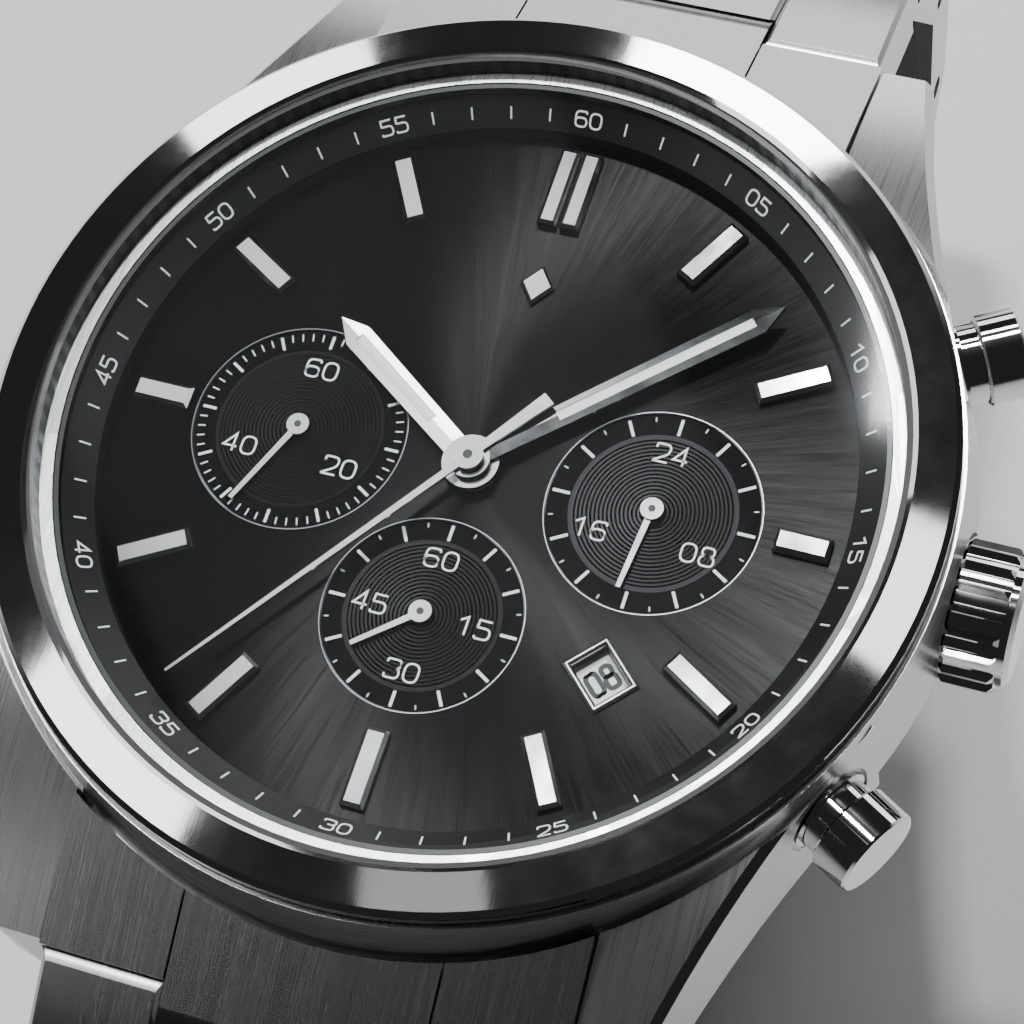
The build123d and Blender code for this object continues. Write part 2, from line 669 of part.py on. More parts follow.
def minute_wheel():
    """The wheel and pinion between the cannon pinion and the hour wheel."""
    turn = mesh_turn(CANNON_TEETH, 0.0, CENTRE, MINUTE_WHEEL_TEETH, MINUTE_WHEEL)
    wheel = gear(MINUTE_WHEEL_TEETH, MOTION_MODULE, 6.15, 6.4, MINUTE_WHEEL, turn)
    pinion = gear(CANNON_TEETH, HOUR_MODULE, 6.4, 6.75, MINUTE_WHEEL)
    return wheel + pinion - disc(PIVOT_R + 0.03, 6, 7, MINUTE_WHEEL)


def chrono_runner():
    """The chronograph wheel at the centre, whose arbor carries the long hand."""
    return disc(2.2, 3.12, 3.27) + disc(0.22, 3.05, 8.55)


def counter_wheel(centre):
    """The wheel and arbor that carry a counter's hand."""
    return disc(2.2, 5.05, 5.2, centre) + disc(PIVOT_R, 5.05, 7.5, centre)


# ---------------------------------------------------------------- bracelet

def knuckle_span(height, radius=KNUCKLE_R):
    """How far from its centre a round knuckle reaches, at a height above it."""
    return sqrt(radius ** 2 - height ** 2)


HOLLOW_R = KNUCKLE_R + KNUCKLE_GAP


def outer_link_face():
    """Side view of an outer link: a knuckle round its near hinge, a hollow round its far one."""
    near_top = (-knuckle_span(LINK_TOP), LINK_TOP)
    near_foot = (-knuckle_span(LINK_BOTTOM), LINK_BOTTOM)
    far_top = (ROW_PITCH - knuckle_span(LINK_TOP, HOLLOW_R), LINK_TOP)
    far_foot = (ROW_PITCH - knuckle_span(LINK_BOTTOM, HOLLOW_R), LINK_BOTTOM)
    return side_face(
        ThreePointArc(near_foot, (-KNUCKLE_R, 0), near_top),
        ThreePointArc(near_top, (ROW_PITCH / 2, LINK_CROWN), far_top),
        ThreePointArc(far_top, (ROW_PITCH - HOLLOW_R, 0), far_foot),
        Line(far_foot, near_foot),
    )


def centre_link_face():
    """Side view of a centre link: a hollow round its near hinge, a knuckle round its far one."""
    near_top = (knuckle_span(LINK_TOP, HOLLOW_R), LINK_TOP)
    near_foot = (knuckle_span(LINK_BOTTOM, HOLLOW_R), LINK_BOTTOM)
    far_top = (ROW_PITCH + knuckle_span(LINK_TOP), LINK_TOP)
    far_foot = (ROW_PITCH + knuckle_span(LINK_BOTTOM), LINK_BOTTOM)
    return side_face(
        ThreePointArc(near_foot, (HOLLOW_R, 0), near_top),
        ThreePointArc(near_top, (ROW_PITCH / 2 + 1, LINK_CROWN), far_top),
        ThreePointArc(far_top, (ROW_PITCH + KNUCKLE_R, 0), far_foot),
        Line(far_foot, near_foot),
    )


def long_top_edges(link):
    """The edges that run along a link's top."""
    top = link.faces().sort_by(Axis.Z)[-1]
    return [edge for edge in top.edges() if abs((edge % 0.5).X) < 0.5]


def bracelet_row(number, pin_half):
    """One row, drawn along +Y from its near hinge: two outer links, a centre link and three pins."""
    near, near_half = -KNUCKLE_R, ROW_HALF_WIDTHS[number]
    far, far_half = ROW_PITCH, ROW_HALF_WIDTHS[number + 1]
    inside = CENTRE_HALF + SIDE_GAP
    plan = plate([(inside, near), (near_half, near), (far_half, far), (inside, far)], -4, 4)
    outer = across(outer_link_face(), inside, near_half) & plan
    outer = chamfer(long_top_edges(outer), LINK_BEVEL)
    outer -= shaft(PIN_R + FIT, 0, 20)
    joining = shaft(PIN_R, 2.0, CENTRE_HALF + 2.5, ROW_PITCH / 2, 0)
    outer -= joining
    centre = across(centre_link_face(), -CENTRE_HALF, CENTRE_HALF)
    centre = chamfer(long_top_edges(centre), LINK_BEVEL)
    hinge_pin = shaft(PIN_R, -pin_half, pin_half, ROW_PITCH, 0)
    joinings = both_sides(joining)
    for hole in [hinge_pin, *joinings]:
        centre -= hole
    return both_sides(outer) + [centre, hinge_pin, *joinings]


def place(shapes, hinge, drop):
    """Put a row on its near hinge, with its far end dropping at an angle below level."""
    return [Pos(0, hinge[0], hinge[1]) * Rot(-drop, 0, 0) * shape for shape in shapes]


def row_hinges():
    """The hinge before each row on the 12 o'clock side, and the last one, as (y, z)."""
    hinges = [FIRST_HINGE]
    for drop in ROW_DROPS:
        y, z = hinges[-1]
        hinges.append((y + ROW_PITCH * cos(radians(drop)), z - ROW_PITCH * sin(radians(drop))))
    return hinges


def end_link():
    """The solid end link between the lugs, with its hinge pin."""
    y, z = FIRST_HINGE
    drop = radians(END_LINK_DROP)
    top_point = (y + KNUCKLE_R * sin(drop), z + KNUCKLE_R * cos(drop))
    rear_y = 15.0
    rear_top = (rear_y, top_point[1] + (top_point[0] - rear_y) * sin(drop) / cos(drop))
    front = (y + KNUCKLE_R, z)
    foot = (y, z - KNUCKLE_R)
    rear_foot = (rear_y, 2.6)
    lower_arc = ThreePointArc(front, (y + KNUCKLE_R * cos(pi / 4), z - KNUCKLE_R * sin(pi / 4)), foot)
    upper_arc = ThreePointArc(
        top_point, (y + KNUCKLE_R * sin((pi / 2 + drop) / 2), z + KNUCKLE_R * cos((pi / 2 + drop) / 2)), front
    )
    face = side_face(
        Line(rear_top, top_point), upper_arc, lower_arc, Line(foot, rear_foot), Line(rear_foot, rear_top)
    )
    half = LUG_GAP / 2 - 0.1
    body = across(face, -half, half)
    for side in (-1, 1):
        near, far = sorted((side * CENTRE_HALF, side * (half + 1)))
        body -= shaft(HOLLOW_R, near, far, y, z)
        body -= block(near, far, y - 0.3, y + 4, z - 4, z + 4)
        body -= block(*sorted((side * CENTRE_HALF, side * (CENTRE_HALF + 0.1))), 14, y, z + 1, 12)
    body -= disc(CASE_R + 0.12, 0, 12)
    body -= shaft(SPRING_BAR_R + FIT, -12, 12, *SPRING_BAR)
    pin_half = ROW_HALF_WIDTHS[0] - PIN_INSET
    pin = shaft(PIN_R, -pin_half, pin_half, y, z)
    return [body - pin, pin]


def spring_bar():
    """A spring bar, with its two tips in the lugs."""
    y, z = SPRING_BAR
    return shaft(SPRING_BAR_R, -10.7, 10.7, y, z) + shaft(0.4, -12.0, 12.0, y, z)


# ---------------------------------------------------------------- clasp
# The clasp lies along an arc about a centre line on the watch's axis. A point of it is an angle
# from straight down, positive towards 12 o'clock, and a height outwards from the hinge line.

CLASP_END = row_hinges()[-1]
CLASP_HALF_ANGLE = degrees(asin(CLASP_END[0] / CLASP_ARC_R))
CLASP_CENTRE_Z = CLASP_END[1] + sqrt(CLASP_ARC_R ** 2 - CLASP_END[0] ** 2)
COVER_HALF = ROW_HALF_WIDTHS[5]
BLADE_HALF = 6.9
FORK_INNER = CENTRE_HALF + 0.2
COVER_HINGE_ANGLE = -21.0       # hinge of cover and upper blade
BLADE_HINGE_ANGLE = 0.0         # hinge of the two blades
COVER_END_ANGLE = -21.85
UPPER_BLADE = (-0.55, 0.35)
LOWER_BLADE = (-1.6, -0.7)
COVER_HINGE_HEIGHT = -0.1
BLADE_HINGE_HEIGHT = -0.62
BLADE_KNUCKLE_R = 0.92
CLASP_PIN_R = 0.42


def clasp_point(angle, height):
    """The (y, z) point at an angle along the clasp and a height outwards from its hinge line."""
    radius = CLASP_ARC_R + height
    return radius * sin(radians(angle)), CLASP_CENTRE_Z - radius * cos(radians(angle))


def clasp_strip(start, end, low, high):
    """Side view of a curved strip of the clasp between two angles and two heights."""
    middle = (start + end) / 2
    return side_face(
        ThreePointArc(clasp_point(start, low), clasp_point(middle, low), clasp_point(end, low)),
        Line(clasp_point(end, low), clasp_point(end, high)),
        ThreePointArc(clasp_point(end, high), clasp_point(middle, high), clasp_point(start, high)),
        Line(clasp_point(start, high), clasp_point(start, low)),
    )


def clasp_shaft(radius, x0, x1, angle, height):
    """A shaft across the clasp at an angle and a height."""
    return shaft(radius, x0, x1, *clasp_point(angle, height))


def clasp_cover():
    """The outer cover: a curved channel with knuckles on the 12 o'clock side."""
    inner_half = COVER_HALF - 1.0
    plate_strip = clasp_strip(COVER_END_ANGLE, CLASP_HALF_ANGLE, 0.55, LINK_TOP)
    wall_strip = clasp_strip(COVER_END_ANGLE, CLASP_HALF_ANGLE, LINK_BOTTOM, LINK_TOP)
    cover = across(plate_strip, -COVER_HALF, COVER_HALF)
    cover += across(wall_strip, inner_half, COVER_HALF)
    cover += across(wall_strip, -COVER_HALF, -inner_half)
    knuckle = clasp_shaft(KNUCKLE_R, FORK_INNER, COVER_HALF, CLASP_HALF_ANGLE, 0)
    for side in both_sides(knuckle):
        cover += side
    cover -= clasp_shaft(HOLLOW_R, -FORK_INNER, FORK_INNER, CLASP_HALF_ANGLE, 0)
    cover -= clasp_shaft(PIN_R + FIT, -12, 12, CLASP_HALF_ANGLE, 0)
    cover -= clasp_shaft(CLASP_PIN_R, -inner_half - 0.6, inner_half + 0.6, COVER_HINGE_ANGLE, COVER_HINGE_HEIGHT)
    pin = clasp_shaft(CLASP_PIN_R, -inner_half - 0.6, inner_half + 0.6, COVER_HINGE_ANGLE, COVER_HINGE_HEIGHT)
    return [cover, pin]


def upper_blade():
    """The blade hinged in the cover, with the pin of the blade hinge."""
    strip = clasp_strip(COVER_HINGE_ANGLE, BLADE_HINGE_ANGLE, *UPPER_BLADE)
    blade = across(strip, -BLADE_HALF, BLADE_HALF)
    blade += clasp_shaft(0.54, -BLADE_HALF, BLADE_HALF, COVER_HINGE_ANGLE, COVER_HINGE_HEIGHT)
    blade -= clasp_shaft(CLASP_PIN_R + FIT, -9, 9, COVER_HINGE_ANGLE, COVER_HINGE_HEIGHT)
    ear = clasp_shaft(BLADE_KNUCKLE_R, 3.1, BLADE_HALF, BLADE_HINGE_ANGLE, BLADE_HINGE_HEIGHT)
    for side in both_sides(ear):
        blade += side
    blade -= clasp_shaft(BLADE_KNUCKLE_R + 0.12, -3.1, 3.1, BLADE_HINGE_ANGLE, BLADE_HINGE_HEIGHT)
    hinge_pin = clasp_shaft(CLASP_PIN_R, -BLADE_HALF, BLADE_HALF, BLADE_HINGE_ANGLE, BLADE_HINGE_HEIGHT)
    return [blade - hinge_pin, hinge_pin]


def lower_blade():
    """The blade nearest the wrist, forked to join the last row on the 6 o'clock side."""
    strip = clasp_strip(-CLASP_HALF_ANGLE, BLADE_HINGE_ANGLE, *LOWER_BLADE)
    blade = across(strip, -BLADE_HALF, BLADE_HALF)
    blade += clasp_shaft(BLADE_KNUCKLE_R, -2.98, 2.98, BLADE_HINGE_ANGLE, BLADE_HINGE_HEIGHT)
    for side in (-1, 1):
        near, far = sorted((side * 2.98, side * (BLADE_HALF + 1)))
        blade -= clasp_shaft(BLADE_KNUCKLE_R + 0.12, near, far, BLADE_HINGE_ANGLE, BLADE_HINGE_HEIGHT)
    blade -= clasp_shaft(CLASP_PIN_R + FIT, -9, 9, BLADE_HINGE_ANGLE, BLADE_HINGE_HEIGHT)
    mouth = clasp_strip(-CLASP_HALF_ANGLE - 3, COVER_HINGE_ANGLE + 0.3, -3, 3)
    blade -= across(mouth, -FORK_INNER, FORK_INNER)
    ear = clasp_shaft(0.95, FORK_INNER, BLADE_HALF, -CLASP_HALF_ANGLE, 0)
    for side in both_sides(ear):
        blade += side
    arm_strip = clasp_strip(-CLASP_HALF_ANGLE, -CLASP_HALF_ANGLE + 0.9, -1.6, 0)
    for side in both_sides(across(arm_strip, FORK_INNER, BLADE_HALF)):
        blade += side
    return blade - clasp_shaft(PIN_R + FIT, -9, 9, -CLASP_HALF_ANGLE, 0)


def main():
    """Write every piece."""
    os.makedirs("parts", exist_ok=True)
    save("mid_case", mid_case())
    save("case_back", case_back())
    save("bezel", bezel())
    save("crystal", crystal())
    save("crystal_gasket", ring(CRYSTAL_R, BEZEL_BORE, CASE_HIGH, 10.4))
    save("back_gasket", ring(16.5, 17.0, CASE_LOW, CASE_LOW + 0.4))
    save("flange_ring", flange_ring())
    save("case_tubes", *case_tubes())
    save("spring_bars", spring_bar(), *half_turn([spring_bar()]))

    save("dial", dial())
    save("date_frame", date_frame())
    save("hour_markers", *hour_markers())
    save("hour_hand", hour_hand())
    save("minute_hand", minute_hand())
    save("chrono_seconds_hand", chrono_seconds_hand())
    save("minute_counter_hand", counter_hand(MINUTE_COUNTER, MINUTE_COUNTER_ANGLE, 4.2, 7.5))
    save("small_seconds_hand", counter_hand(SMALL_SECONDS, SMALL_SECONDS_ANGLE, 3.1, 7.5))
    save("hour24_hand", counter_hand(HOUR24_COUNTER, HOUR24_ANGLE, 3.6, 7.5))

    save("movement_ring", ring(14.9, CAVITY_R - 0.03, 3.7, 6.9) - shaft(0.6, 10, 20, z=CROWN_Z))
    save("main_plate", main_plate())
    save("train_bridge", train_bridge())
    save("balance_cock", balance_cock())
    save("movement_screws", *movement_screws())
    for name, wheel in going_train().items():
        save(name, wheel)
    save("pallet_fork", pallet_fork())
    save("balance_wheel", balance_wheel())
    save("rotor", rotor())
    save("date_disc", date_disc())
    save("cannon_pinion", cannon_pinion())
    save("minute_wheel", minute_wheel())
    save("hour_wheel", hour_wheel())
    save("chrono_runner", chrono_runner())
    save("minute_counter_wheel", counter_wheel(MINUTE_COUNTER))
    save("hour24_wheel", counter_wheel(HOUR24_COUNTER))

    save("crown", crown())
    save("crown_stem", crown_stem())
    save("setting_lever", setting_lever())
    for name, angle in pusher_angles().items():
        save(f"pusher_{name}", pusher(angle))
        save(f"pusher_spring_{name}", pusher_spring(angle))

    save("end_link_12", *end_link())
    save("end_link_6", *half_turn(end_link()))
    hinges = row_hinges()
    for number, drop in enumerate(ROW_DROPS):
        pin_half = ROW_HALF_WIDTHS[number + 1] - PIN_INSET
        row = place(bracelet_row(number, pin_half), hinges[number], drop)
        save(f"link_12_{number + 1}", *row)
        if drop == ROW_DROPS[-1]:
            row = place(bracelet_row(number, OPEN_PIN_HALF), hinges[number], drop)
        save(f"link_6_{number + 1}", *half_turn(row))
    save("clasp_cover", *clasp_cover())
    save("clasp_upper_blade", *upper_blade())
    save("clasp_lower_blade", lower_blade())


main()
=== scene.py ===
import json
import math

import bpy
from mathutils import Matrix, Vector

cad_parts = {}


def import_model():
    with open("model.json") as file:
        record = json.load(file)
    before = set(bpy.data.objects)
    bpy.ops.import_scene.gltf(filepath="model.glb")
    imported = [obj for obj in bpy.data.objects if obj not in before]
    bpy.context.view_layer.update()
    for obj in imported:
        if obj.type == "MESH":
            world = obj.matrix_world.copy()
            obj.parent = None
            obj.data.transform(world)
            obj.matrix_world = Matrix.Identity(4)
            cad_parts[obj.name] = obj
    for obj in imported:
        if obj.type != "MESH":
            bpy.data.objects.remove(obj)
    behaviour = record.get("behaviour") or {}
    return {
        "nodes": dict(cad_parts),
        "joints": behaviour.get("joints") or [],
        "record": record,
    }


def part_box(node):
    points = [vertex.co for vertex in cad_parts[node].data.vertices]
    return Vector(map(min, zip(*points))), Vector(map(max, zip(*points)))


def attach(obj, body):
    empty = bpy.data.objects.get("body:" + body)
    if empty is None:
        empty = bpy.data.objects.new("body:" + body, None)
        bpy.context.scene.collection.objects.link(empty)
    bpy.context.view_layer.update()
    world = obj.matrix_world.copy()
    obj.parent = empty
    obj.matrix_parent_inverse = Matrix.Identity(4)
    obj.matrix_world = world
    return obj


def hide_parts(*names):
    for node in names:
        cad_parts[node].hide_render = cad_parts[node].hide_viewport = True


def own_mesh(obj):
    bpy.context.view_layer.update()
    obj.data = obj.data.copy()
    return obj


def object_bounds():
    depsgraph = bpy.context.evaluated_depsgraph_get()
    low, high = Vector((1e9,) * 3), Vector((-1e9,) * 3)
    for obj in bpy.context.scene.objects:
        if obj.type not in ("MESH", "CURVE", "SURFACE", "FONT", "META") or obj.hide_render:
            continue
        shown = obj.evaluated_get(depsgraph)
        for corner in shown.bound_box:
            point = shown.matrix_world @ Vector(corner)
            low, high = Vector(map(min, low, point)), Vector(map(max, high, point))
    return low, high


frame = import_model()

CAD_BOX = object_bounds()
MM = 0.001
NODES = frame["nodes"]

# ---------------------------------------------------------------- the dial's layout, in millimetres
DIAL_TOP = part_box("dial")[1].z / MM
SUBDIAL_FLOOR = DIAL_TOP - 0.12
TRACK_INNER = (15.8, 8.12)          # radius and height of the flange ring's slope, at its two ends
TRACK_OUTER = (16.95, 9.05)
TRACK_R = 16.32
TRACK_NUMERAL_R = 16.34
DATE_ANGLE = 133.0
DATE_R = 10.7
MINUTE_COUNTER = (-7.75, 0.0)
HOUR24_COUNTER = (7.75, 0.0)
SMALL_SECONDS = (0.0, -6.65)
INNER_SHARE = 0.785                 # grooved disc of a counter, as a share of its radius
GROOVE_PITCH = 0.17
ARBOR_HOLE_R = 0.32                 # hole in the middle of a grooved disc
FIRST_GROOVE_R = 0.35
HOUR_ANGLE = 303.95
MINUTE_ANGLE = 47.4

# ---------------------------------------------------------------- materials


class Graph:
    """A material's node tree, built by short calls."""

    def __init__(self, name):
        self.material = bpy.data.materials.new(name)
        self.material.use_nodes = True
        self.tree = self.material.node_tree
        self.shader = self.tree.nodes["Principled BSDF"]

    def add(self, kind, inputs=None, **settings):
        """A new node, with its settings and its inputs: a value, or another node's socket."""
        node = self.tree.nodes.new("ShaderNode" + kind)
        for key, value in settings.items():
            setattr(node, key, value)
        for key, value in (inputs or {}).items():
            self.feed(node, key, value)
        return node

    def feed(self, node, key, value):
        socket = node.inputs[key]
        if isinstance(value, bpy.types.NodeSocket):
            self.tree.links.new(value, socket)
        else:
            socket.default_value = value

    def set(self, **inputs):
        """Inputs of the Principled shader, by name with underscores for spaces."""
        for key, value in inputs.items():
            self.feed(self.shader, key.replace("_", " "), value)
        return self

    def coordinates(self):
        return self.add("TexCoord").outputs["Object"]

    def math(self, operation, *values, clamp=False):
        node = self.add("Math", operation=operation, use_clamp=clamp)
        for index, value in enumerate(values):
            self.feed(node, index, value)
        return node.outputs[0]

    def noise(self, vector, scale, detail=2.0, roughness=0.5):
        values = {"Vector": vector, "Scale": scale, "Detail": detail, "Roughness": roughness}
        return self.add("TexNoise", values).outputs["Fac"]

    def stretched(self, vector, scale):
        return self.add("Mapping", {"Vector": vector, "Scale": scale}).outputs["Vector"]

    def spread(self, value, low, high):
        """A 0 to 1 value carried to another range."""
        return self.add("MapRange", {"Value": value, "To Min": low, "To Max": high}).outputs["Result"]

    def mixed(self, factor, first, second):
        """A vector between two fixed ones."""
        node = self.add("Mix", {"Factor": factor}, data_type="VECTOR")
        ends = [socket for socket in node.inputs if socket.type == "VECTOR"]
        ends[-2].default_value = first
        ends[-1].default_value = second
        return [socket for socket in node.outputs if socket.type == "VECTOR"][0]

    def bump(self, height, strength, distance):
        values = {"Height": height, "Strength": strength, "Distance": distance}
        self.set(Normal=self.add("Bump", values).outputs["Normal"])


def polished_steel(name, shade=0.74, roughness=0.05):
    """Mirror-polished steel with faint hairlines and a slight haze."""
    g = Graph(name)
    where = g.coordinates()
    haze = g.noise(where, 900.0, 3.0)
    hairs = g.noise(g.stretched(where, (9000.0, 700.0, 2500.0)), 1.0, 2.0)
    g.set(Metallic=1.0, Base_Color=(shade, shade, shade * 1.01, 1.0))
    g.set(Roughness=g.spread(haze, roughness * 0.7, roughness * 1.5))
    g.bump(hairs, 0.02, 0.00001)
    return g.material


def brushed_steel(name, shade=0.46, roughness=0.26):
    """Steel brushed along the bracelet: fine grooves in the plane of its links."""
    g = Graph(name)
    where = g.coordinates()
    fine = g.noise(g.stretched(where, (24000.0, 160.0, 160.0)), 1.0, 3.0, 0.6)
    broad = g.noise(g.stretched(where, (3500.0, 60.0, 60.0)), 1.0, 2.0)
    grain = g.math("ADD", g.math("MULTIPLY", fine, 0.65), g.math("MULTIPLY", broad, 0.35))
    tone = g.spread(grain, shade * 0.72, shade * 1.2)
    g.set(Metallic=1.0, Base_Color=g.add("CombineColor", {0: tone, 1: tone, 2: tone}).outputs[0])
    g.set(Roughness=g.spread(grain, roughness * 0.75, roughness * 1.25))
    g.set(Anisotropic=0.75, Tangent=g.add("CombineXYZ", {0: 1.0, 1: 0.12, 2: 0.08}).outputs[0])
    g.bump(grain, 0.28, 0.00002)
    return g.material


def case_steel():
    """The case middle: brushed flank and lug walls, finer brushed lug tops, polished bevels."""
    g = Graph("case_steel")
    where = g.coordinates()
    normal = g.add("NewGeometry").outputs["Normal"]
    up = g.add("SeparateXYZ", {"Vector": normal}).outputs["Z"]
    walls = g.noise(g.stretched(where, (220.0, 220.0, 20000.0)), 1.0, 3.0, 0.6)
    tops = g.noise(g.stretched(where, (24000.0, 160.0, 160.0)), 1.0, 3.0, 0.6)
    is_top = g.math("GREATER_THAN", up, 0.8)
    is_wall = g.math("LESS_THAN", g.math("ABSOLUTE", up), 0.35)
    is_brushed = g.math("MAXIMUM", is_top, is_wall)
    grain = g.math("ADD", g.math("MULTIPLY", tops, is_top), g.math("MULTIPLY", walls, is_wall))
    is_polished = g.math("SUBTRACT", 1.0, is_brushed)
    tone = g.math("ADD", g.spread(grain, 0.48, 0.78), g.math("MULTIPLY", is_polished, 0.2))
    g.set(Metallic=1.0, Base_Color=g.add("CombineColor", {0: tone, 1: tone, 2: tone}).outputs[0])
    soft = g.math("MULTIPLY", g.spread(grain, 0.16, 0.3), is_brushed)
    g.set(Roughness=g.math("ADD", soft, 0.06), Anisotropic=0.6)
    g.set(Tangent=g.mixed(is_top, (0.05, 0.05, 1.0), (1.0, 0.05, 0.05)))
    g.bump(grain, 0.2, 0.00002)
    return g.material


def sunray(name, shade, roughness):
    """Dark metallic lacquer over brushing that runs out from the dial's centre."""
    g = Graph(name)
    parts = g.add("SeparateXYZ", {"Vector": g.coordinates()})
    x, y = parts.outputs["X"], parts.outputs["Y"]
    radius = g.math("SQRT", g.math("ADD", g.math("MULTIPLY", x, x), g.math("MULTIPLY", y, y)))
    safe = g.math("MAXIMUM", radius, 0.0004)
    ray = g.add("CombineXYZ", {
        0: g.math("MULTIPLY", g.math("DIVIDE", x, safe), 100.0),
        1: g.math("MULTIPLY", g.math("DIVIDE", y, safe), 100.0),
        2: g.math("MULTIPLY", radius, 300.0),
    }).outputs[0]
    fine = g.noise(ray, 1.0, 4.0, 0.75)
    broad = g.noise(ray, 0.2, 2.0)
    grain = g.math("ADD", g.math("MULTIPLY", fine, 0.75), g.math("MULTIPLY", broad, 0.25))
    streaks = g.math("MULTIPLY", g.math("SUBTRACT", grain, 0.32), 2.6, clamp=True)
    tone = g.spread(streaks, shade * 0.35, shade * 1.9)
    g.set(Metallic=1.0, Base_Color=g.add("CombineColor", {0: tone, 1: tone, 2: tone}).outputs[0])
    g.set(Roughness=g.spread(grain, roughness * 0.85, roughness * 1.15), Anisotropic=1.0)
    g.set(Tangent=g.add("Tangent", direction_type="RADIAL", axis="Z").outputs[0])
    g.bump(grain, 0.3, 0.00003)
    return g.material


def dark_satin(name, shade, roughness, metallic=0.0):
    """Black lacquer or plating with a fine tooth."""
    g = Graph(name)
    grain = g.noise(g.coordinates(), 16000.0, 2.0)
    g.set(Metallic=metallic, Base_Color=(shade, shade, shade * 1.04, 1.0))
    g.set(Roughness=g.spread(grain, roughness * 0.8, roughness * 1.2))
    g.bump(grain, 0.08, 0.00001)
    return g.material


def print_ink(name, colour, roughness=0.55):
    """Opaque printed ink, slightly uneven."""
    g = Graph(name)
    grain = g.noise(g.coordinates(), 9000.0, 2.0)
    tone = g.add("Mix", {"Factor": g.spread(grain, 0.0, 0.25)}, data_type="RGBA")
    full, thin = [socket for socket in tone.inputs if socket.type == "RGBA"]
    full.default_value = (*colour, 1.0)
    thin.default_value = (*[part * 0.82 for part in colour], 1.0)
    blend = [socket for socket in tone.outputs if socket.type == "RGBA"][0]
    g.set(Base_Color=blend, Roughness=roughness)
    g.bump(grain, 0.1, 0.00001)
    return g.material


def sapphire(name):
    """Sapphire with an anti-reflective coating on its flat faces and a polished bevel."""
    g = Graph(name)
    facing = g.add("SeparateXYZ", {"Vector": g.add("NewGeometry").outputs["Normal"]}).outputs["Z"]
    is_edge = g.math("LESS_THAN", g.math("ABSOLUTE", facing), 0.95)
    g.set(Base_Color=(0.9, 0.92, 0.95, 1.0), Metallic=0.6, Roughness=0.05)
    clear = g.add("BsdfTransparent", {"Color": (0.97, 0.98, 0.985, 1.0)})
    hazy = g.math("MULTIPLY", is_edge, 0.1)
    share = g.math("ADD", hazy, g.math("MULTIPLY", g.math("SUBTRACT", 1.0, is_edge), 0.006))
    unlit = g.math("SUBTRACT", 1.0, g.add("LightPath").outputs["Is Shadow Ray"])
    choice = g.add("MixShader", {0: g.math("MULTIPLY", share, unlit)})
    output = g.tree.nodes["Material Output"]
    g.tree.links.new(clear.outputs[0], choice.inputs[1])
    g.tree.links.new(g.shader.outputs[0], choice.inputs[2])
    g.tree.links.new(choice.outputs[0], output.inputs["Surface"])
    return g.material


def gilt(name):
    """Gilded brass with a fine circular grain."""
    g = Graph(name)
    grain = g.noise(g.coordinates(), 6000.0, 3.0)
    g.set(Metallic=1.0, Base_Color=(0.78, 0.6, 0.3, 1.0), Roughness=g.spread(grain, 0.22, 0.4))
    g.bump(grain, 0.1, 0.00001)
    return g.material


STEEL = polished_steel("polished_steel")
HAND_STEEL = polished_steel("hand_steel", 0.6, 0.12)
BRUSHED = brushed_steel("brushed_steel")
CASE = case_steel()
DIAL = sunray("dial_sunray", 0.0045, 0.29)
TRACK = dark_satin("track_black", 0.004, 0.4)
COUNTER = dark_satin("counter_black", 0.009, 0.24, 1.0)
COUNTER_RIM = dark_satin("counter_rim", 0.0015, 0.4, 1.0)
COUNTER_EDGE = dark_satin("counter_edge", 0.22, 0.22, 1.0)
WHITE_INK = print_ink("white_ink", (0.95, 0.96, 0.97), 0.45)
# Black print for the date numbers, also used as painted shade over the hubs' pin holes.
BLACK_INK_AND_HOLE_SHADE = print_ink("black_ink_and_hole_shade", (0.012, 0.012, 0.014))
DATE_WHITE = print_ink("date_white", (0.96, 0.96, 0.94), 0.5)
LUME = print_ink("lume", (0.97, 0.98, 0.97), 0.4)
CRYSTAL = sapphire("sapphire")
SEAL = dark_satin("seal", 0.02, 0.6)
PLATE = polished_steel("plated_plate", 0.66, 0.3)
GILT = gilt("gilt_brass")

BY_SLOT = {
    "polished_steel": STEEL, "brushed_steel": BRUSHED, "sapphire": CRYSTAL, "seal": SEAL,
    "black_dial": DIAL, "hand_steel": HAND_STEEL, "white_disc": DATE_WHITE,
    "plated_plate": PLATE, "gilt_brass": GILT, "movement_steel": STEEL,
}
BY_NODE = {"mid_case": CASE, "flange_ring": TRACK}


def dress(node, material):
    """Give a CAD node its material."""
    mesh = NODES[node].data
    mesh.materials.clear()
    mesh.materials.append(material)


SLOT_OF = {part["node"]: part["material_slot"] for part in frame["record"]["subparts"]}
for node, slot in SLOT_OF.items():
    dress(node, BY_NODE.get(node, BY_SLOT[slot]))

# ---------------------------------------------------------------- mesh building


def piece(name, points, faces, material, body, slot, smooth=False):
    """A new mesh, from points in millimetres, that rides on a CAD body."""
    mesh = bpy.data.meshes.new(name)
    mesh.from_pydata([Vector(p) * MM for p in points], [], faces)
    mesh.materials.append(material)
    if smooth:
        mesh.shade_smooth()
    mesh.update()
    made = bpy.data.objects.new(name, mesh)
    bpy.context.scene.collection.objects.link(made)
    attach(made, body)
    return made


def turned(name, profile, material, body, slot, centre=(0.0, 0.0), steps=192, sharp=30):
    """A round piece: a closed outline of (radius, height) points turned about an upright axis."""
    points, faces = [], []
    rows = len(profile)
    for step in range(steps):
        angle = 2 * math.pi * step / steps
        for radius, height in profile:
            x, y = centre[0] + radius * math.cos(angle), centre[1] + radius * math.sin(angle)
            points.append((x, y, height))
    for step in range(steps):
        after = (step + 1) % steps
        for row in range(rows):
            up = (row + 1) % rows
            faces.append((step * rows + row, after * rows + row, after * rows + up, step * rows + up))
    made = piece(name, points, faces, material, body, slot, smooth=True)
    edge = made.modifiers.new("edges", "EDGE_SPLIT")
    edge.split_angle = math.radians(sharp)
    return made


SUNK = 0.01                         # how far a stroke's underside lies below its surface, in millimetres
MITRE_LIMIT = 0.35


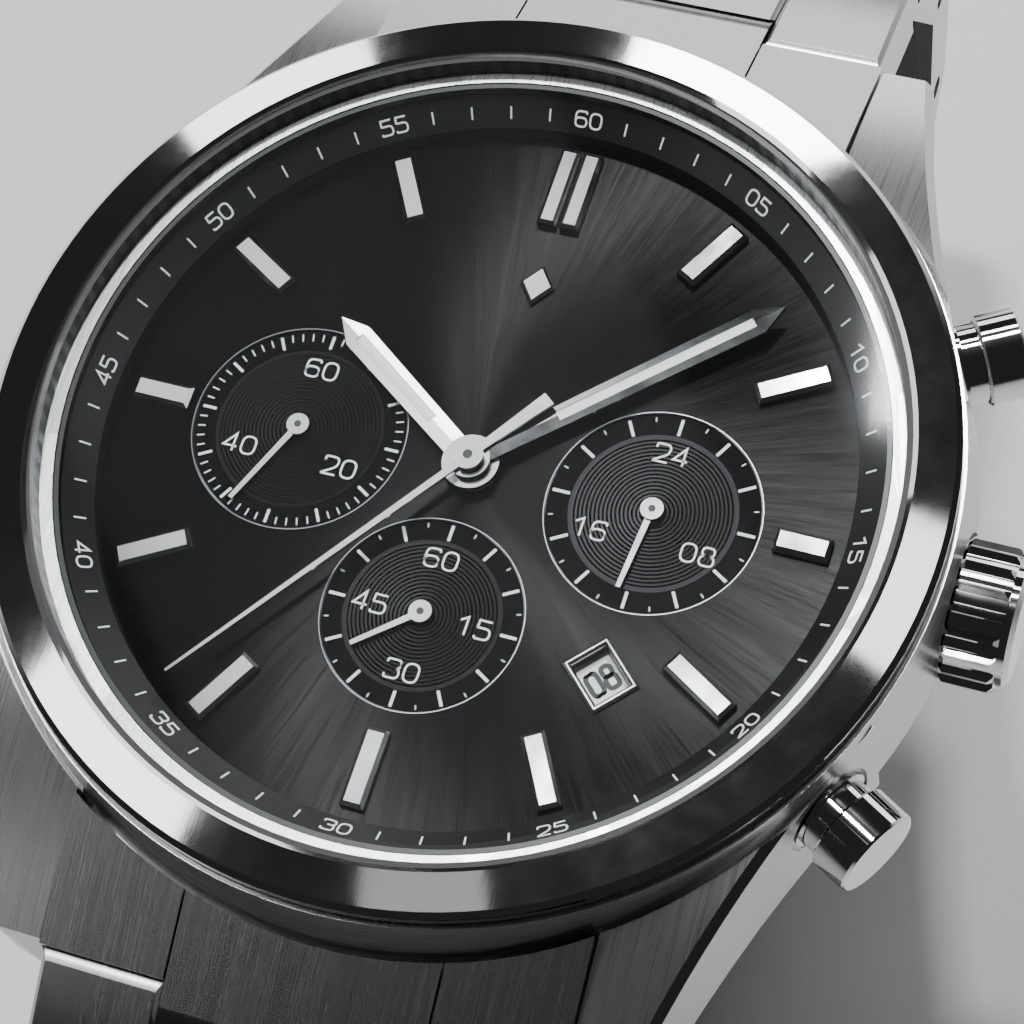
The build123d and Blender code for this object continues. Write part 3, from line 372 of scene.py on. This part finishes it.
class Print:
    """Printed strokes that lie on a surface, gathered into one thin mesh."""

    def __init__(self, thickness=0.02):
        self.points = []
        self.faces = []
        self.thickness = thickness

    def stroke(self, line, width, place, closed=False):
        """A stroke of even width along a line of (u, v) points. place(u, v, lift) gives the 3-D point."""
        count = len(line)
        sides = []
        for index, (u, v) in enumerate(line):
            before = line[index - 1] if index or closed else line[index]
            after = line[(index + 1) % count] if index < count - 1 or closed else line[index]
            first = Vector((u - before[0], v - before[1]))
            second = Vector((after[0] - u, after[1] - v))
            if first.length < 1e-9:
                first = second
            if second.length < 1e-9:
                second = first
            first.normalize()
            second.normalize()
            middle = (first + second).normalized()
            across = Vector((-middle.y, middle.x))
            reach = width / 2 / max(MITRE_LIMIT, across.dot(Vector((-first.y, first.x))))
            shift_u = across.x * reach
            shift_v = across.y * reach
            sides.append(((u + shift_u, v + shift_v), (u - shift_u, v - shift_v)))
        start = len(self.points)
        for left, right in sides:
            for lift in (self.thickness, -SUNK):
                self.points.append(place(*left, lift))
                self.points.append(place(*right, lift))
        spans = count if closed else count - 1
        for index in range(spans):
            a, b = start + 4 * index, start + 4 * ((index + 1) % count)
            self.faces += [
                (a, a + 1, b + 1, b), (a + 1, a + 3, b + 3, b + 1),
                (a + 2, a, b, b + 2), (a + 3, a + 2, b + 2, b + 3),
            ]
        if not closed:
            end = start + 4 * (count - 1)
            self.faces += [(start, start + 2, start + 3, start + 1), (end, end + 1, end + 3, end + 2)]

    def finish(self, name, material, body, slot):
        return piece(name, self.points, self.faces, material, body, slot)


def rounded(line, radius, closed=False, steps=5):
    """A line with its corners rounded."""
    count, out = len(line), []
    for index, corner in enumerate(line):
        if not closed and index in (0, count - 1):
            out.append(tuple(corner))
            continue
        corner = Vector(corner)
        before, after = Vector(line[index - 1]), Vector(line[(index + 1) % count])
        cut = min(radius, (before - corner).length * 0.5, (after - corner).length * 0.5)
        start = corner + (before - corner).normalized() * cut
        end = corner + (after - corner).normalized() * cut
        for step in range(steps + 1):
            t = step / steps
            out.append(tuple((1 - t) ** 2 * start + 2 * t * (1 - t) * corner + t * t * end))
    return out


# Each digit is a list of strokes on a square of side 1: corner radius, closed or open, and corners.
DIGITS = {
    "0": [(0.5, True, [(0, 0), (1, 0), (1, 1), (0, 1)])],
    "1": [(0.0, False, [(0.1, 0.76), (0.6, 1), (0.6, 0)])],
    "2": [(0.4, False, [(0, 0.76), (0, 1), (1, 1), (1, 0.5), (0, 0.03), (0, 0), (1, 0)])],
    "3": [
        (0.4, False, [(0, 0.8), (0, 1), (1, 1), (1, 0.53), (0.35, 0.53)]),
        (0.4, False, [(0.35, 0.53), (1, 0.53), (1, 0), (0, 0), (0, 0.2)]),
    ],
    "4": [(0.0, False, [(0.74, 0), (0.74, 1), (0, 0.28), (1, 0.28)])],
    "5": [
        (0.0, False, [(0.95, 1), (0.08, 1), (0.04, 0.58)]),
        (0.38, False, [(0.04, 0.6), (1, 0.6), (1, 0), (0, 0), (0, 0.14)]),
    ],
    "6": [
        (0.45, False, [(0.95, 0.84), (0.95, 1), (0, 1), (0, 0.3)]),
        (0.45, True, [(0, 0), (1, 0), (1, 0.58), (0, 0.58)]),
    ],
    "7": [(0.0, False, [(0, 1), (1, 1), (0.35, 0)])],
    "8": [
        (0.4, True, [(0.08, 0.54), (0.92, 0.54), (0.92, 1), (0.08, 1)]),
        (0.4, True, [(0, 0), (1, 0), (1, 0.54), (0, 0.54)]),
    ],
    "9": [
        (0.45, False, [(0.05, 0.16), (0.05, 0), (1, 0), (1, 0.7)]),
        (0.45, True, [(0, 0.42), (1, 0.42), (1, 1), (0, 1)]),
    ],
}


def number(ink, text, height, width, place, flip=1.0, wide_share=0.74, gap_share=0.25):
    """A number centred on (0, 0) of place, its digits' width and gap being shares of its height."""
    wide = height * wide_share
    gap = height * gap_share
    total = len(text) * wide + (len(text) - 1) * gap
    for index, digit in enumerate(text):
        left = -total / 2 + index * (wide + gap)
        for radius, closed, corners in DIGITS[digit]:
            line = [(flip * (left + u * wide), flip * (v - 0.5) * height) for u, v in corners]
            if radius:
                line = rounded(line, radius * wide, closed)
            ink.stroke(line, width, place, closed)


def flat_place(centre, height):
    """Places strokes on a level surface."""
    return lambda u, v, lift: (centre[0] + u, centre[1] + v, height + lift)


SLOPE = math.atan2(TRACK_OUTER[1] - TRACK_INNER[1], TRACK_OUTER[0] - TRACK_INNER[0])


def track_place(angle, radius):
    """Places strokes on the sloping track, at a clock angle and a radius."""
    def place(u, v, lift):
        at = radius + v * math.cos(SLOPE) - lift * math.sin(SLOPE)
        rise = (radius + v * math.cos(SLOPE) - TRACK_INNER[0]) * math.tan(SLOPE)
        turn = math.radians(angle) + u / radius
        return at * math.sin(turn), at * math.cos(turn), TRACK_INNER[1] + rise + lift * math.cos(SLOPE)
    return place


def polar_place(centre, angle, height, radius=0.0):
    """Places strokes on a level surface, from a point at a clock angle and a radius, with v outward."""
    turn = math.radians(angle)

    def place(u, v, lift):
        x = centre[0] + (radius + v) * math.sin(turn) + u * math.cos(turn)
        y = centre[1] + (radius + v) * math.cos(turn) - u * math.sin(turn)
        return x, y, height + lift
    return place


# ---------------------------------------------------------------- the minute track


def minute_track():
    """Sixty marks on the sloping ring, with numerals in place of every fifth."""
    ink = Print()
    for minute in range(60):
        if minute % 5:
            ink.stroke([(0, -0.27), (0, 0.27)], 0.075, track_place(6 * minute, TRACK_R))
            continue
        text = f"{minute or 60:02d}"
        flip = -1.0 if 20 <= minute <= 40 else 1.0
        number(ink, text, 0.66, 0.085, track_place(6 * minute, TRACK_NUMERAL_R), flip)
    ink.finish("minute_track_print", WHITE_INK, "case", "black_dial")


# ---------------------------------------------------------------- the counters


def counter(name, centre, radius, ticks, numerals, height=0.8):
    """A sunk counter: a grooved disc, a rim with ticks, a bright edge and its numerals."""
    inner = radius * INNER_SHARE
    floor = SUBDIAL_FLOOR
    grooves = int((inner - FIRST_GROOVE_R) / GROOVE_PITCH)
    profile = [(ARBOR_HOLE_R, floor - 0.02), (ARBOR_HOLE_R, floor + 0.03)]
    for groove in range(grooves):
        start = FIRST_GROOVE_R + groove * GROOVE_PITCH
        profile.append((start, floor + 0.02))
        profile.append((start + GROOVE_PITCH * 0.25, floor + 0.055))
        profile.append((start + GROOVE_PITCH * 0.75, floor + 0.058))
    profile += [(inner, floor + 0.06), (inner + 0.02, floor - 0.02)]
    turned(f"{name}_grooved_disc", profile, COUNTER, "case", "black_dial", centre, 160, sharp=20)
    turned(f"{name}_rim", [
        (inner + 0.03, floor - 0.02), (inner + 0.03, floor + 0.02), (radius - 0.06, floor + 0.02),
        (radius - 0.06, floor - 0.02),
    ], COUNTER_RIM, "case", "black_dial", centre, 160)
    turned(f"{name}_edge", [
        (radius - 0.05, floor), (radius - 0.05, DIAL_TOP - 0.03), (radius + 0.01, DIAL_TOP + 0.012),
        (radius + 0.05, DIAL_TOP + 0.012), (radius + 0.05, floor),
    ], COUNTER_EDGE, "case", "black_dial", centre, 192)
    ink = Print()
    for angle, start, end, width in ticks:
        place = polar_place(centre, angle, floor + 0.02)
        ink.stroke([(0, radius * start), (0, radius * end)], width, place)
    for angle, text, numeral_r in numerals:
        turn = math.radians(angle)
        middle = (centre[0] + numeral_r * math.sin(turn), centre[1] + numeral_r * math.cos(turn))
        number(ink, text, height, 0.085, flat_place(middle, floor + 0.06))
    ink.finish(f"{name}_print", WHITE_INK, "case", "black_dial")


# Each tick is a clock angle, its start and end as shares of the counter's radius, and its width.
SIXTY_TICKS = [
    (6 * n, 0.83 if n % 5 == 0 else 0.89, 0.96, 0.12 if n % 5 == 0 else 0.055) for n in range(60)
]
TWENTY_FOUR_TICKS = [
    (15 * n, 0.92 if n % 2 else 0.8, 0.965, 0.05 if n % 2 else 0.13) for n in range(24)
]

minute_track()
counter(
    "minute_counter", MINUTE_COUNTER, 4.6, SIXTY_TICKS,
    [(0, "60", 2.8), (120, "20", 2.6), (240, "40", 2.6)],
)
counter(
    "day_counter", HOUR24_COUNTER, 4.45, TWENTY_FOUR_TICKS,
    [(0, "24", 2.65), (120, "08", 2.65), (240, "16", 2.65)],
)
counter(
    "seconds_counter", SMALL_SECONDS, 4.2, TWENTY_FOUR_TICKS,
    [(0, "60", 2.5), (90, "15", 2.25), (180, "30", 2.5), (270, "45", 2.25)],
)

# ---------------------------------------------------------------- hands' paint and the date


def paint_bar(name, angle, near, far, half, low, high, body):
    """Luminous paint in a hand's slot, gently domed."""
    turn = math.radians(angle)
    points = []
    for v in (near, far):
        for u, height in ((-half, low), (-half, high - 0.02), (0, high), (half, high - 0.02), (half, low)):
            x = v * math.sin(turn) + u * math.cos(turn)
            y = v * math.cos(turn) - u * math.sin(turn)
            points.append((x, y, height))
    faces = [(i, (i + 1) % 5, 5 + (i + 1) % 5, 5 + i) for i in range(5)]
    faces += [(4, 3, 2, 1, 0), (5, 6, 7, 8, 9)]
    piece(name, points, faces, LUME, body, "hand_steel")


paint_bar("hour_hand_paint", HOUR_ANGLE, 2.62, 7.73, 0.2, 7.92, 8.05, "hour")
paint_bar("minute_hand_paint", MINUTE_ANGLE, 4.02, 12.98, 0.2, 8.27, 8.4, "minute")


def date_numbers():
    """Thirty-one numbers round the date ring, the eighth of them in the window."""
    ink = Print()
    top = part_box("date_disc")[1].z / MM
    for day in range(1, 32):
        angle = DATE_ANGLE + (day - 8) * 360 / 31
        number(ink, f"{day:02d}", 1.0, 0.2, polar_place((0, 0), angle, top, DATE_R), -1.0, 0.48, 0.2)
    ink.finish("date_numbers", BLACK_INK_AND_HOLE_SHADE, "date_disc", "white_disc")


date_numbers()


def hub_hole_shade_disc(name, centre, radius, height, body):
    """Painted shade: a black disc on top of a hub, at its middle, standing in for the shade in its pin hole."""
    profile = [(0.0, height), (radius, height), (radius, height - 0.05), (0.0, height - 0.05)]
    turned(name, profile, BLACK_INK_AND_HOLE_SHADE, body, "movement_steel", centre, 48)


HUBS = (
    ("minute_counter", MINUTE_COUNTER),
    ("hour24", HOUR24_COUNTER),
    ("small_seconds", SMALL_SECONDS),
)
# Painted shade: black discs on the hubs stand in for the shadow inside their pin holes.
hub_hole_shade_disc("centre_hub_hole_shade", (0.0, 0.0), 0.2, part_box("chrono_seconds_hand")[1].z / MM + 0.01, "chrono_seconds")
for body, centre in HUBS:
    hub_hole_shade_disc(f"{body}_hub_hole_shade", centre, 0.15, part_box(f"{body}_hand")[1].z / MM + 0.01, body)

# ---------------------------------------------------------------- the pushers' return springs
COIL_R = 1.1
COIL_WIRE_R = 0.11
COIL_TURNS = 3
UP = Vector((0, 0, 1))


def pusher_coil(name):
    """A pusher's return spring as a real coil, in place of the CAD spring, riding on the case."""
    node = f"pusher_spring_{name}"
    joint = next(joint for joint in frame["joints"] if joint["name"] == f"pusher_{name}_press")
    outward = -Vector(joint["axis"]).normalized()
    side = outward.cross(UP)
    low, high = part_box(node)
    middle = UP * (low.z + high.z) / 2 / MM
    cad = NODES[node]
    reach = [(cad.matrix_world @ vertex.co).dot(outward) / MM for vertex in cad.data.vertices]
    start, end = min(reach), max(reach)
    ring, around = 8, 24
    steps = around * COIL_TURNS
    points, faces = [], []
    for step in range(steps + 1):
        turn = 2 * math.pi * step / around
        along = start + COIL_WIRE_R + (end - start - 2 * COIL_WIRE_R) * step / steps
        radial = side * math.cos(turn) + UP * math.sin(turn)
        centre = middle + outward * along + radial * COIL_R
        for corner in range(ring):
            angle = 2 * math.pi * corner / ring
            points.append(centre + (radial * math.cos(angle) + outward * math.sin(angle)) * COIL_WIRE_R)
    for step in range(steps):
        for corner in range(ring):
            a, b = step * ring + corner, step * ring + (corner + 1) % ring
            faces.append((a, b, b + ring, a + ring))
    faces += [tuple(range(ring - 1, -1, -1)), tuple(range(steps * ring, steps * ring + ring))]
    made = piece(f"pusher_coil_{name}", points, faces, STEEL, "case", SLOT_OF[node], smooth=True)
    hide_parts(node)
    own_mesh(made)


pusher_coil("start")
pusher_coil("reset")

# ---------------------------------------------------------------- smooth shading of the CAD nodes
for node in NODES.values():
    node.data.shade_smooth()
    split = node.modifiers.new("edges", "EDGE_SPLIT")
    split.split_angle = math.radians(28)

# ---------------------------------------------------------------- floor, light and camera


def floor():
    """A plain pale floor under the closed bracelet."""
    size, level = 1.5, CAD_BOX[0][2] - 0.0002
    mesh = bpy.data.meshes.new("floor")
    corners = [(-size, -size, level), (size, -size, level), (size, size, level), (-size, size, level)]
    mesh.from_pydata(corners, [], [(0, 1, 2, 3)])
    g = Graph("floor_pale")
    grain = g.noise(g.coordinates(), 60.0, 2.0)
    g.set(Base_Color=(0.72, 0.72, 0.73, 1.0), Roughness=g.spread(grain, 0.55, 0.7))
    mesh.materials.append(g.material)
    made = bpy.data.objects.new("floor", mesh)
    bpy.context.scene.collection.objects.link(made)


def soft_light(name, place, aim, size, radiance):
    """A rectangular soft box of even brightness."""
    light = bpy.data.lights.new(name, "AREA")
    light.shape = "RECTANGLE"
    light.size, light.size_y = size
    light.energy = radiance * math.pi * size[0] * size[1]
    made = bpy.data.objects.new(name, light)
    made.location = place
    made.rotation_euler = (Vector(aim) - Vector(place)).to_track_quat("-Z", "Y").to_euler()
    bpy.context.scene.collection.objects.link(made)


def camera():
    """The camera: a long lens, close above the 4 to 5 o'clock side."""
    data = bpy.data.cameras.new("camera")
    data.lens, data.sensor_width = 101.83, 36.0
    data.clip_start, data.clip_end = 0.005, 10.0
    right = Vector((0.94012, 0.30849, -0.14493))
    up = Vector((-0.22842, 0.88584, 0.40387))
    back = Vector((0.25298, -0.34658, 0.90326))
    made = bpy.data.objects.new("camera", data)
    made.matrix_world = Matrix((
        (right.x, up.x, back.x, 0.03203), (right.y, up.y, back.y, -0.04235),
        (right.z, up.z, back.z, 0.11399), (0, 0, 0, 1),
    ))
    bpy.context.scene.collection.objects.link(made)
    bpy.context.scene.camera = made


def world():
    made = bpy.data.worlds.new("studio")
    made.use_nodes = True
    made.node_tree.nodes["Background"].inputs["Color"].default_value = (0.5, 0.52, 0.55, 1.0)
    made.node_tree.nodes["Background"].inputs["Strength"].default_value = 0.04
    bpy.context.scene.world = made


floor()
camera()
world()
# Each light has a name, a place in metres, its two sides and its radiance, and faces the origin. The two ray
# lights make the dial's bright fans, and the bezel lights are what the bezel's polished slope reflects.
LIGHTS = (
    ("ray_light_low", (-0.037, 0.066, 0.35), (0.03, 0.03), 300.0),
    ("ray_light_high", (-0.026, 0.177, 0.35), (0.03, 0.03), 330.0),
    ("marker_box", (-0.113, 0.13, 0.35), (0.1, 0.12), 1.7),
    ("bezel_12", (-0.06, 0.326, 0.35), (0.09, 0.05), 14.0),
    ("bezel_3", (0.06, 0.117, 0.35), (0.04, 0.05), 3.0),
    ("bezel_5", (-0.06, -0.025, 0.35), (0.03, 0.04), 0.5),
    ("bezel_7", (-0.187, 0.0, 0.35), (0.105, 0.07), 4.0),
    ("bezel_10", (-0.257, 0.305, 0.35), (0.085, 0.085), 4.0),
    ("left_box", (-0.36, 0.0, 0.12), (0.26, 0.12), 1.8),
    ("right_box", (0.36, 0.15, 0.2), (0.22, 0.12), 1.6),
    ("back_box", (0.0, 0.42, 0.1), (0.4, 0.12), 2.5),
    ("front_left", (-0.3, -0.2, 0.27), (0.12, 0.12), 2.5),
)
for name, place, size, radiance in LIGHTS:
    soft_light(name, place, (0, 0, 0), size, radiance)
